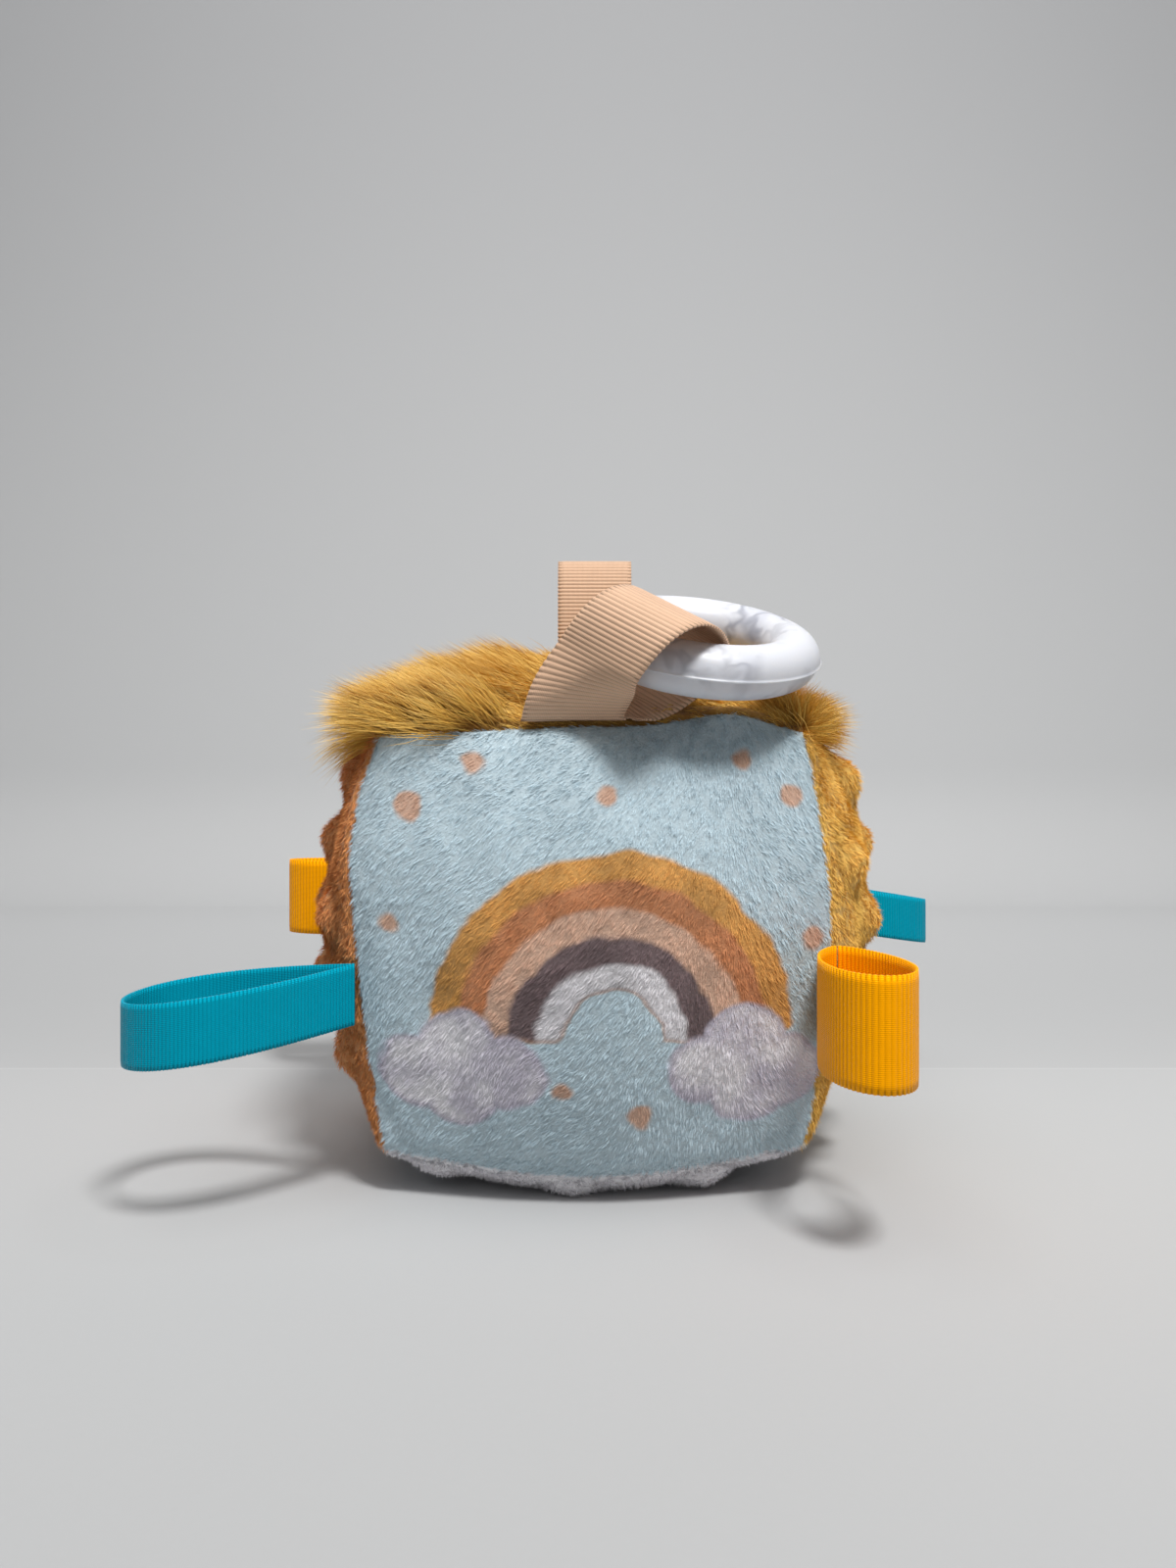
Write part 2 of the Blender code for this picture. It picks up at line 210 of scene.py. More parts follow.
def on_top(x, y, above):
    """The height that lies a given distance above the top panel's dense pile, over places."""
    cube = np.stack([x * 0, y * 0, x * 0 + 1], axis=-1)
    for _ in range(SEARCH_STEPS):
        second = np.sort(np.abs(cube), axis=-1)[..., 1]
        place = pillow(cube, -PILE_BODY * (1 - second**4))
        for axis, wanted in enumerate((x, y)):
            hop = (wanted - place[..., axis]) / (SEAM_HALF[axis] + CROWN)
            cube[..., axis] = np.clip(cube[..., axis] + hop, -1, 1)
    return place[..., 2] + above


def cube_face(axis, side, shares):
    """Points of the unit cube's face for an array of (u, v) shares from -1 to 1."""
    out = Vector([side if i == axis else 0 for i in range(3)])
    up = Vector((0, 1, 0)) if axis == 2 else Vector((0, 0, 1))
    turn = np.array(Matrix((up.cross(out), up, out)).transposed())
    flat = np.concatenate([shares, np.ones_like(shares[..., :1])], axis=-1)
    return flat @ turn.T


def linked(name, data):
    """A new object, linked into the scene."""
    obj = bpy.data.objects.new(name, data)
    bpy.context.scene.collection.objects.link(obj)
    return obj


def mesh_object(name, vertices, faces, surface):
    """An object from an array of vertices and a list of arrays of faces, quads or triangles."""
    mesh = bpy.data.meshes.new(name)
    mesh.vertices.add(len(vertices))
    mesh.vertices.foreach_set("co", np.ascontiguousarray(vertices, np.float32).ravel())
    loops = np.concatenate([part.ravel() for part in faces]).astype(np.int32)
    sizes = np.concatenate([np.full(len(part), part.shape[1]) for part in faces])
    mesh.loops.add(len(loops))
    mesh.loops.foreach_set("vertex_index", loops)
    mesh.polygons.add(len(sizes))
    starts = np.concatenate([[0], np.cumsum(sizes)[:-1]]).astype(np.int32)
    mesh.polygons.foreach_set("loop_start", starts)
    mesh.update(calc_edges=True)
    mesh.shade_smooth()
    mesh.materials.append(surface)
    return linked(name, mesh)


def grid_faces(rows, columns, closed_rows=False, closed_columns=False, flip=False):
    """The quads of a grid of vertices, as an array of vertex numbers."""
    i = np.arange(rows if closed_rows else rows - 1)
    j = np.arange(columns if closed_columns else columns - 1)
    i, j = np.meshgrid(i, j, indexing="ij")
    i_next, j_next = (i + 1) % rows, (j + 1) % columns
    corners = [(i, j), (i, j_next), (i_next, j_next), (i_next, j)]
    if flip:
        corners.reverse()
    return np.stack([a * columns + b for a, b in corners], axis=-1).reshape(-1, 4)


def vectors_of(items, key, kind=np.float32):
    """The vectors that a mesh's items keep under a key, as an array."""
    flat = np.empty(len(items) * 3, kind)
    items.foreach_get(key, flat)
    return flat.reshape(-1, 3)


def number_layer(obj, name, values):
    """Give each vertex of an object a number that its material can read."""
    layer = obj.data.attributes.new(name, "FLOAT", "POINT")
    layer.data.foreach_set("value", np.ascontiguousarray(values, np.float32).ravel())


# Materials, made of nodes


def linear(colour):
    """The linear values of a colour that is given as it is seen; a socket stays as it is."""
    if isinstance(colour, bpy.types.NodeSocket):
        return colour
    return [((c / 255 + 0.055) / 1.055) ** 2.4 for c in colour] + [1.0]


class Field:
    """A number worked out over a surface; arithmetic on it adds the nodes that it needs."""

    def __init__(self, tree, socket):
        self.tree, self.socket = tree, socket

    def math(self, operation, *others):
        made = self.tree.nodes.new("ShaderNodeMath")
        made.operation = operation
        for slot, value in zip(made.inputs, (self, *others)):
            put(self.tree, slot, value)
        return Field(self.tree, made.outputs[0])

    def __add__(self, other):
        return self.math("ADD", other)

    def __sub__(self, other):
        return self.math("SUBTRACT", other)

    def __mul__(self, other):
        return self.math("MULTIPLY", other)

    def __pow__(self, other):
        return self.math("POWER", other)

    def size(self):
        """The number without its sign."""
        return self.math("ABSOLUTE")

    def step(self, start, end, low=0.0, high=1.0):
        """A soft step from low at start to high at end."""
        made = self.tree.nodes.new("ShaderNodeMapRange")
        made.interpolation_type = "SMOOTHSTEP"
        for slot, value in zip(made.inputs, (self, start, end, low, high)):
            put(self.tree, slot, value)
        return Field(self.tree, made.outputs[0])


def put(tree, slot, value):
    """Link a field or socket to an input, or set the input to a plain value."""
    if isinstance(value, Field):
        value = value.socket
    if isinstance(value, bpy.types.NodeSocket):
        tree.links.new(value, slot)
    else:
        slot.default_value = value


def add(tree, kind, settings=(), **inputs):
    """A new node with its settings and inputs; an input's name has _ for a space."""
    made = tree.nodes.new("ShaderNode" + kind)
    for name, value in dict(settings).items():
        setattr(made, name, value)
    for name, value in inputs.items():
        put(tree, made.inputs[name.replace("_", " ")], value)
    return made


def material(name, **shader_inputs):
    """A new material: its node tree and its shader."""
    made = bpy.data.materials.new(name)
    made.use_nodes = True
    tree = made.node_tree
    shader = tree.nodes["Principled BSDF"]
    for key, value in shader_inputs.items():
        put(tree, shader.inputs[key.replace("_", " ")], value)
    return made, tree, shader


def place_fields(tree):
    """A surface point's place in the model: its vector, and x, y and z as fields."""
    vector = add(tree, "TexCoord").outputs["Object"]
    parts = add(tree, "SeparateXYZ", Vector=vector)
    return vector, [Field(tree, socket) for socket in parts.outputs]


def noise(tree, vector, spacing, detail=3.0, roughness=0.55):
    """A noise field from 0 to 1 with features about a given distance apart."""
    grain = {"Scale": 1 / spacing, "Detail": detail, "Roughness": roughness}
    return Field(tree, add(tree, "TexNoise", Vector=vector, **grain).outputs["Fac"])


def blend(tree, share, first, second):
    """One colour mixed into another by a share."""
    made = add(tree, "Mix", {"data_type": "RGBA"})
    colour_inputs = [slot for slot in made.inputs if slot.type == "RGBA"]
    put(tree, made.inputs[0], share)
    for slot, colour in zip(colour_inputs, (first, second)):
        put(tree, slot, linear(colour))
    return next(slot for slot in made.outputs if slot.type == "RGBA")


def dim(tree, colour, share):
    """A colour times a field."""
    made = add(tree, "VectorMath", {"operation": "SCALE"}, Scale=share)
    colour = linear(colour)
    put(tree, made.inputs[0], colour[:3] if isinstance(colour, list) else colour)
    return made.outputs[0]


def number(tree, name):
    """A number that the mesh keeps at each vertex."""
    return Field(tree, add(tree, "Attribute", {"attribute_name": name}).outputs["Fac"])


def bump(tree, shader, height, distance):
    """Raise a surface's shading by a height field."""
    made = add(tree, "Bump", Height=height, Distance=distance)
    tree.links.new(made.outputs["Normal"], shader.inputs["Normal"])


# The print of the front panel: a rainbow that stands on two clouds, with drops of colour round
# it, all in soft watercolour. The rainbow's bands are given by their outer radius and colour,
# the clouds' puffs and the drops by their x, z and radius on the panel.
RAINBOW_CENTRE = (0.004, 0.044)
RAINBOW_BANDS = [
    (0.0440, (226, 168, 92)),
    (0.0375, (206, 140, 96)),
    (0.0310, (222, 184, 160)),
    (0.0245, (122, 104, 106)),
    (0.0180, (228, 226, 230)),
]
RAINBOW_INNER = 0.0120
CLOUD_PUFFS = [
    (-0.044, 0.034, 0.0095),
    (-0.033, 0.040, 0.0105),
    (-0.021, 0.035, 0.0095),
    (-0.032, 0.031, 0.0100),
    (0.026, 0.036, 0.0090),
    (0.036, 0.041, 0.0110),
    (0.047, 0.034, 0.0090),
    (0.037, 0.031, 0.0100),
]
DROPS = [
    (-0.046, 0.098, 0.0034),
    (-0.030, 0.109, 0.0026),
    (0.048, 0.101, 0.0030),
    (0.036, 0.111, 0.0022),
    (-0.050, 0.070, 0.0024),
    (0.053, 0.066, 0.0028),
    (0.003, 0.101, 0.0028),
    (-0.008, 0.031, 0.0026),
    (0.011, 0.024, 0.0030),
]
CLOUD_COLOUR = (236, 234, 238)
CLOUD_SHADE = (206, 202, 214)
CLOUD_RIM = (184, 178, 196)
DROP_COLOUR = (214, 170, 142)
PAINT_EDGE = 0.0009
PAINT_WANDER = 0.0045
WANDER_SPACING = 0.007
SWAY_SPACING = 0.011
WASH_SPACING = 0.014
WASH_SHIFT = 9
BAND_DEPTH = 0.86


def nearest_edge(x, z, circles):
    """A field of the distance outside the nearest of some circles, below 0 inside one."""
    nearest = None
    for centre_x, centre_z, radius in circles:
        away = ((x - centre_x) ** 2 + (z - centre_z) ** 2) ** 0.5 - radius
        nearest = away if nearest is None else nearest.math("MINIMUM", away)
    return nearest


def front_print(tree):
    """The front panel's colour: its print over the blue."""
    vector, (x, _, z) = place_fields(tree)
    wander = noise(tree, vector, WANDER_SPACING) - 0.5
    sway = noise(tree, vector, SWAY_SPACING, detail=1.0) - 0.5
    x, z = x + wander * PAINT_WANDER, z + sway * PAINT_WANDER
    away = ((x - RAINBOW_CENTRE[0]) ** 2 + (z - RAINBOW_CENTRE[1]) ** 2) ** 0.5
    wash = noise(tree, vector, WASH_SPACING, detail=4.0)
    washed = [c - WASH_SHIFT for c in BLUE]
    colour = blend(tree, wash.step(0.35, 0.7), BLUE, washed)
    above = z.step(RAINBOW_CENTRE[1] - PAINT_EDGE, RAINBOW_CENTRE[1] + PAINT_EDGE)
    above = above * away.step(RAINBOW_INNER - PAINT_EDGE, RAINBOW_INNER + PAINT_EDGE)
    for outer, band in RAINBOW_BANDS:
        inside = away.step(outer - PAINT_EDGE, outer + PAINT_EDGE, 1.0, 0.0)
        deep = [c * BAND_DEPTH for c in band]
        tone = blend(tree, wash.step(0.4, 0.66), band, deep)
        colour = blend(tree, inside * above, colour, tone)
    cloud = nearest_edge(x, z, CLOUD_PUFFS)
    lilac = blend(tree, wash.step(0.35, 0.65), CLOUD_COLOUR, CLOUD_SHADE)
    lilac = blend(tree, cloud.step(-PAINT_EDGE * 3, 0.0, 0.0, 0.7), lilac, CLOUD_RIM)
    colour = blend(tree, cloud.step(-PAINT_EDGE, PAINT_EDGE, 1.0, 0.0), colour, lilac)
    drops = nearest_edge(x, z, DROPS)
    return blend(tree, drops.step(-PAINT_EDGE, PAINT_EDGE, 0.9, 0.0), colour, DROP_COLOUR)


def plain(colour, shift=8):
    """A colouring that drifts a little over the cloth."""

    def paint(tree):
        vector, _ = place_fields(tree)
        share = noise(tree, vector, DRIFT_SPACING).step(0.35, 0.68)
        return blend(tree, share, colour, [c - shift for c in colour])

    return paint


# How light the knitted ground and the pile are, as painted light and shade in shares of the
# panel's colour
GROUND_PAINTED_SHADE = 0.62
PILE_ROOT_PAINTED_SHADE = 0.78
PILE_TIP_PAINTED_LIGHT = 1.08
# Painted shade round each dot's foot and a painted highlight on its crown
DOT_FOOT_PAINTED_SHADE = 0.84
DOT_CROWN_PAINTED_HIGHLIGHT = 1.30
# The underside's lighter ground and roots: painted light that lifts the shade under the block
UNDERSIDE_GROUND_PAINTED_LIGHT_AND_SHADE = 0.8
UNDERSIDE_ROOT_PAINTED_LIGHT = 1.05

# The cloth's fine detail: how far apart its features are, and how far they stand out
DRIFT_SPACING = 0.012
KNIT_SPACING = 0.0006
KNIT_DEPTH = 0.0003
FUR_PATCH_SPACING = 0.016
FIBRE_SPACING = 0.002
FIBRE_DEPTH = 0.0008


def cloth_material(name, paint, ground_painted_shade):
    """The knitted ground under a pile, darkened as painted shade among the pile's roots."""
    made, tree, shader = material(name, Roughness=0.95, Sheen_Weight=0.15)
    vector, _ = place_fields(tree)
    knit = noise(tree, vector, KNIT_SPACING, detail=2.0)
    put(tree, shader.inputs["Base Color"], dim(tree, paint(tree), knit * 0.3 + ground_painted_shade))
    bump(tree, shader, knit, KNIT_DEPTH)
    return made


def pile_material(name, paint, painted_root_light):
    """Strands of pile, with painted light and shade: painted shade at the root and round the dots,
    painted highlight at the tip and on the dots.
    """
    made, tree, shader = material(name, Roughness=0.8, Specular_IOR_Level=0.3)
    height, tint, dot = (number(tree, key) for key in ("height", "tint", "dot"))
    # Painted shade towards the roots and painted light at the tips, times a random tint
    shade = height.step(0.0, 0.9, painted_root_light, PILE_TIP_PAINTED_LIGHT) * (tint * 0.26 + 0.87)
    shade = shade * dot.step(0.0, 0.22, 1.0, DOT_FOOT_PAINTED_SHADE)
    shade = shade * dot.step(0.24, 0.62, 1.0, DOT_CROWN_PAINTED_HIGHLIGHT)
    put(tree, shader.inputs["Base Color"], dim(tree, paint(tree), shade))
    return made


def fur_material(name):
    """The long pile of the top: dark ochre at the root as painted shade, gold along it, and straw
    at the tip, partly painted highlight.
    """
    made, tree, shader = material(name, Roughness=0.6, Specular_IOR_Level=0.3)
    height, tint = number(tree, "height"), number(tree, "tint")
    vector, _ = place_fields(tree)
    patch = noise(tree, vector, FUR_PATCH_SPACING).step(0.3, 0.7)
    gold = blend(tree, patch, FUR_GOLD, FUR_DEEP_GOLD)
    straw = blend(tree, height.step(0.55, 1.0), gold, FUR_STRAW_AND_HIGHLIGHT)
    colour = blend(tree, height.step(0.0, 0.45), FUR_ROOT_PAINTED_SHADE, straw)
    put(tree, shader.inputs["Base Color"], dim(tree, colour, tint * 0.44 + 0.78))
    return made


# Grosgrain: the threads across its ribs, its worn patches, how far in its edge beads' painted
# light reaches, and its grooves' painted shade
THREAD_PITCH = 0.00042
WEAR_SPACING = 0.004
BEAD_LIGHT_WIDTH = 0.0013
BEAD_LIGHT_EDGE = 0.0009
WEAVE_DEPTH = 0.00012
GROOVE_PAINTED_SHADE = 0.84
BEIGE_GROOVE_PAINTED_SHADE = 0.68


def ribbon_material(name, colour, pitch, width):
    """Woven grosgrain: painted highlights on the ribs and edge beads, painted shade in the
    grooves, and the fine threads that cross them.
    """
    made, tree, shader = material(name, Roughness=0.36, Specular_IOR_Level=0.3)
    shader.inputs["Specular Tint"].default_value = linear(colour)
    along, across = number(tree, "along"), number(tree, "across")
    vector, _ = place_fields(tree)
    rib = (along * (math.pi / pitch)).math("SINE").size()
    thread = (across * (math.pi / THREAD_PITCH)).math("SINE").size()
    wear = noise(tree, vector, WEAR_SPACING)
    edge = across.size().step(width / 2 - BEAD_LIGHT_WIDTH, width / 2 - BEAD_LIGHT_EDGE)
    bead_painted_light = rib.step(0.35, 0.8, 0.8, 1.15)
    # Painted shade in the grooves and a painted highlight on the ribs' crests
    groove_painted_shade = BEIGE_GROOVE_PAINTED_SHADE if colour == BEIGE else GROOVE_PAINTED_SHADE
    tone = rib.step(0.0, 0.42, groove_painted_shade, 1.04) * (thread * 0.14 + 0.9) * (wear * 0.12 + 0.94)
    # Painted highlight on the edge beads' crests and painted shade between them
    tone = tone * (edge * (bead_painted_light - 1.0) + 1.0)
    put(tree, shader.inputs["Base Color"], dim(tree, colour, tone))
    bump(tree, shader, thread * 0.5 + rib, WEAVE_DEPTH)
    return made


# The ring's marbling: how far light goes under the silicone, how the veins bend and lie apart,
# and the stretch of x over which they grow stronger
SILICONE_GLOW = (0.0064, 0.0056, 0.0048)
VEIN_BEND = 0.02
BEND_SCALE = 90.0
VEIN_SPACING = 0.026
VEIN_PATCH_SPACING = 0.024
HAZE_SPACING = 0.016
VEIN_SPAN = (0.022, 0.045)
SILICONE_GRAIN = 0.0004
SILICONE_DEPTH = 0.00002


def silicone_material(name):
    """White silicone with thin grey veins that come and go."""
    made, tree, shader = material(name, Roughness=0.38, Subsurface_Weight=0.6)
    shader.inputs["Subsurface Radius"].default_value = SILICONE_GLOW
    shader.inputs["Subsurface Scale"].default_value = 1.0
    vector, (x, _, _) = place_fields(tree)
    bent = add(tree, "VectorMath", {"operation": "MULTIPLY_ADD"})
    drift = add(tree, "TexNoise", Vector=vector, Scale=BEND_SCALE, Detail=2.0)
    for slot, value in zip(bent.inputs, (drift.outputs["Color"], [VEIN_BEND] * 3, vector)):
        put(tree, slot, value)
    streak = noise(tree, bent.outputs[0], VEIN_SPACING, roughness=0.5)
    line = (streak - 0.5).size().step(0.0, 0.05, 1.0, 0.0)
    patch = noise(tree, vector, VEIN_PATCH_SPACING, detail=1.0).step(0.42, 0.6)
    patch = patch * x.step(*VEIN_SPAN, 0.45, 1.0)
    haze = noise(tree, bent.outputs[0], HAZE_SPACING).step(0.35, 0.75) * 0.7
    veined = blend(tree, line * patch * 0.75, WHITE, VEIN_GREY)
    hazy = blend(tree, haze * patch, veined, HAZE_GREY)
    put(tree, shader.inputs["Base Color"], hazy)
    bump(tree, shader, noise(tree, vector, SILICONE_GRAIN), SILICONE_DEPTH)
    return made


def fibre_material(name):
    """White fibre filling."""
    made, tree, shader = material(name, Roughness=0.95, Sheen_Weight=0.3)
    vector, _ = place_fields(tree)
    strand = noise(tree, vector, FIBRE_SPACING, detail=5.0)
    tone = strand * 0.3 + 0.75
    put(tree, shader.inputs["Base Color"], dim(tree, FIBRE_WHITE, tone))
    bump(tree, shader, strand, FIBRE_DEPTH)
    return made


# The stuffed body: six panels over the filling


def share_of(offset, axis):
    """The share of the unit cube's half side at a distance from the middle of a face."""
    low, high = -1.0, 1.0
    for _ in range(SEARCH_STEPS):
        middle = (low + high) / 2
        reach = STRAIGHT_HALF[axis] * middle + BALL_RADIUS * middle / math.hypot(1, middle)
        low, high = (middle, high) if reach < offset else (low, middle)
    return low


def dot_centres(axis, side, start_shares):
    """Points of the unit cube at the dots' centres: staggered rows through one dot."""
    first, second = [i for i in range(3) if i != axis]
    limits = [SEAM_HALF[i] - DOT_SEAM_MARGIN for i in (first, second)]
    count = math.ceil(2 * max(limits) / DOT_PITCH)
    places = []
    for row in range(-count, count + 1):
        for column in range(-count, count + 1):
            pitches = (start_shares[0] + column, start_shares[1] + row)
            offsets = [share * DOT_PITCH for share in pitches]
            inside = all(abs(o) < limit for o, limit in zip(offsets, limits))
            if (row + column) % 2 == 0 and inside:
                point = [float(side)] * 3
                for i, offset in zip((first, second), offsets):
                    point[i] = share_of(offset, i)
                places.append(point)
    return np.array(places)


def dots_of(name, axis, side):
    """A panel's dots and their height; a plain panel has none."""
    if name not in DOTS:
        return None, 0.0
    start_shares, height = DOTS[name]
    return dot_centres(axis, side, start_shares), height


def body_surface(cube, dots, dot_height):
    """Places on the sewn body: the plain form with its lumps, its seams' tucks and its dots."""
    second = np.sort(np.abs(cube), axis=-1)[..., 1]
    plain_place = pillow(cube)
    normal = unit(pillow(cube, -SKIN) - pillow(cube, SKIN) + NUDGE)
    near_seam = smooth(second, *PUCKER_SHARES) * (1 - smooth(second, PUCKER_SHARES[1], 1.0))
    puckers = PUCKER_HEIGHT * near_seam * waves(plain_place, PUCKER_SPACING, PUCKER_SEED)
    raised = LUMP_HEIGHT * waves(plain_place, LUMP_SPACING, LUMP_SEED) + puckers
    raised = np.minimum(raised, -LUMP_ROOM)
    raised = raised - SEAM_TUCK * smooth(second, 1 - SEAM_TUCK_SHARE, 1.0)
    if dots is not None:
        away = np.linalg.norm(plain_place[..., None, :] - pillow(dots), axis=-1).min(-1)
        raised = raised + dot_height * np.maximum(0, 1 - (away / DOT_RADIUS) ** 2) ** 2
    place = plain_place + normal * raised[..., None]
    for centre, width, push in BULGES:
        away = np.linalg.norm(cube - np.array(centre), axis=-1)
        place = place + np.exp(-((away / width) ** 2))[..., None] * np.array(push)
    place[..., 2] = np.maximum(place[..., 2], FOOT_CUT)
    return place


def panel(name, axis, side, skin_material):
    """One sewn cloth square: its outer face and the edges tucked into the seams."""
    steps = np.linspace(-1, 1, PANEL_CELLS + 1)
    shares = np.stack(np.meshgrid(steps, steps, indexing="ij"), axis=-1)
    cube = cube_face(axis, side, shares)
    outer = body_surface(cube, *dots_of(name, axis, side))
    faces = grid_faces(PANEL_CELLS + 1, PANEL_CELLS + 1, flip=True)
    return mesh_object(name + "_cloth", outer.reshape(-1, 3), [faces], skin_material)


def mark_dot_painted_light(pile, axis, dots):
    """Note along a pile how near it stands to a dot's middle: 0 beside the dots, up to 1. The
    pile's painted highlight and painted shade round the dots follow it.
    """
    places = vectors_of(pile.data.vertices, "co")
    flat = np.delete(places, axis, axis=1)
    middles = np.delete(pillow(dots), axis, axis=1)
    away = np.linalg.norm(flat[:, None] - middles, axis=-1).min(-1)
    number_layer(pile, "dot", np.maximum(0, 1 - away / DOT_SHADE_RADIUS))


def filling(fill_material):
    """The fibre filling: the same stuffed form, just inside the cloth."""
    bm = bmesh.new()
    bmesh.ops.create_cube(bm, size=2)
    bmesh.ops.subdivide_edges(bm, edges=bm.edges[:], cuts=FILLING_CUTS, use_grid_fill=True)
    cube = np.array([vert.co for vert in bm.verts])
    for vert, place in zip(bm.verts, pillow(cube, SKIN + FILL_CLEARANCE)):
        vert.co = place
    mesh = bpy.data.meshes.new("filling")
    bm.to_mesh(mesh)
    bm.free()
    mesh.shade_smooth()
    mesh.materials.append(fill_material)
    return linked("filling", mesh)


# Pile and fur: tapered blades in small locks

LENGTH_SHARES = (0.75, 1.1)
WIDTH_SHARES = (0.7, 1.3)
BLADE_TAPER = 0.75
LOCK_POWER = 1.5

# How far a blade looks ahead for another piece, how far it stops short of one, and the share of
# its length below which it is left out
BLADE_MARGIN = 0.0004
BLADE_GAP = 0.0006
SHORTEST_SHARE = 0.25


def scatter(obj, count, rng):
    """Random places on an object's faces, with the surface's normals there."""
    mesh = obj.data
    mesh.calc_loop_triangles()
    corners = vectors_of(mesh.loop_triangles, "vertices", np.int32)
    places = vectors_of(mesh.vertices, "co")
    normals = vectors_of(mesh.vertex_normals, "vector")
    a, b, c = (places[corners[:, k]] for k in range(3))
    areas = np.linalg.norm(np.cross(b - a, c - a), axis=-1)
    picked = rng.choice(len(corners), count, p=areas / areas.sum())
    u, v = rng.uniform(size=(2, count, 1))
    flip = u + v > 1
    u, v = np.where(flip, 1 - u, u), np.where(flip, 1 - v, v)

    def mix(values):
        shares = enumerate((1 - u - v, u, v))
        return sum(values[corners[picked, k]] * share for k, share in shares)

    return mix(places), unit(mix(normals))


def lock_lines(roots, normals, nap, look, rng):
    """The middle lines of the blades: those of one lock start apart and lean together."""
    lock_count, per_lock, steps = len(roots), look["per_lock"], look["steps"]
    flow = nap(roots)
    flow = unit(flow - normals * (flow * normals).sum(-1, keepdims=True))
    side = np.cross(normals, flow)
    spread = rng.normal(size=(lock_count, per_lock, 2)) * look["spread"]
    starts = roots[:, None] + flow[:, None] * spread[..., :1] + side[:, None] * spread[..., 1:]
    own = starts - normals[:, None] * look["sink"]
    shared = roots[:, None] - normals[:, None] * look["sink"]
    rise = look["rise"](roots)
    jitter = rng.normal(size=(lock_count, per_lock, 3)) * look["jitter"]
    lock_jitter = rng.normal(size=(lock_count, 1, 3)) * look["lock_jitter"]
    uneven = rng.uniform(*LENGTH_SHARES, (lock_count, per_lock))
    length = look["length"](roots)[:, None] * uneven
    droop = look["droop"](roots)[:, None, None] * np.array([0, 0, -1.0])
    lines = [own]
    for step in range(steps):
        share = (step + 0.5) / steps
        bend = look["bend"] * share
        way = normals[:, None] * (rise[:, None, None] * (1 - bend)) + flow[:, None] * (1 + bend)
        way = unit(way + lock_jitter + droop * share * 2)
        hop = length[..., None] / steps
        own = own + unit(way + jitter) * hop
        shared = shared + way * hop
        pull = look["lock"] * ((step + 1) / steps) ** LOCK_POWER
        lines.append(own + (shared - own) * pull)
    return np.stack(lines, axis=2).reshape(-1, steps + 1, 3)


def keep_clear(lines, obstacles):
    """Shorten the lines that run into another piece, and say which are still long enough."""
    kept = np.ones(len(lines), bool)
    for tree, low, high in obstacles:
        tips = lines[:, -1]
        close = (((tips > low) & (tips < high)).all(-1) & kept).nonzero()[0]
        for index in close:
            root, tip = Vector(lines[index, 0]), Vector(lines[index, -1])
            reach = (tip - root).length
            hit = tree.ray_cast(root, (tip - root) / reach, reach + BLADE_MARGIN)
            if hit[0] is not None:
                scale = (hit[3] - BLADE_GAP) / reach
                kept[index] = scale > SHORTEST_SHARE
                lines[index] = lines[index, :1] + (lines[index] - lines[index, :1]) * scale
    return kept


def blade_corners(lines, outward, look, rng):
    """The corners of tapered blades along lines: pairs on their way up, then the tip."""
    along = unit(lines[:, -1] - lines[:, 0])
    flat = unit(np.cross(along, outward))
    turn = rng.normal(size=(len(lines), 1)) * look["turn"]
    flat = flat * np.cos(turn) + np.cross(along, flat) * np.sin(turn)
    widths = look["width"] * rng.uniform(*WIDTH_SHARES, (len(lines), 1))
    steps = look["steps"]
    taper = (1 - (np.arange(steps) / steps) ** 2 * BLADE_TAPER)[None] * widths
    left = lines[:, :-1] - flat[:, None] * taper[..., None] / 2
    right = lines[:, :-1] + flat[:, None] * taper[..., None] / 2
    pairs = np.stack([left, right], axis=2).reshape(len(lines), -1, 3)
    return np.concatenate([pairs, lines[:, -1:]], axis=1)


def strands(name, roots, normals, nap, look, strand_material, rng, obstacles):
    """Blades that grow in locks from roots: look gives their sizes in metres and shares."""
    lines = lock_lines(roots, normals, nap, look, rng)
    kept = keep_clear(lines, obstacles)
    lines, outward = lines[kept], np.repeat(normals, look["per_lock"], axis=0)[kept]
    lines[..., 2] = np.maximum(lines[..., 2], FOOT_CUT)
    vertices = blade_corners(lines, outward, look, rng)
    steps, each = look["steps"], vertices.shape[1]
    first = (np.arange(len(lines)) * each)[:, None, None]
    level = (np.arange(steps - 1) * 2)[None, :, None]
    quads = first + level + np.array([0, 1, 3, 2])
    tips = first[:, 0] + each + np.array([-3, -2, -1])
    faces = [quads.reshape(-1, 4), tips]
    obj = mesh_object(name, vertices.reshape(-1, 3), faces, strand_material)
    levels = np.append(np.repeat(np.arange(steps) / steps, 2), 1.0)
    number_layer(obj, "height", np.tile(levels, len(lines)))
    tints = np.repeat(rng.uniform(size=(len(roots), 1)) * 0.5, look["per_lock"], axis=1)
    tints = (tints + rng.uniform(size=tints.shape) * 0.5).ravel()[kept]
    number_layer(obj, "tint", np.repeat(tints, each))
    return obj


def steady(value):
    """A size that is the same everywhere."""
    return lambda roots: np.full(len(roots), float(value))


# The zones of the top: the stretches of x and of y over which each one comes or goes
LEFT_RIM = (0.036, 0.058)
RIGHT_RIM = (0.044, 0.058)
LEFT_SIDE = (0.002, 0.026)
PRESSED_LEFT = (-0.025, -0.017)
PRESSED_RIGHT = (0.044, 0.053)
PRESSED_FRONT = (0.038, 0.052)

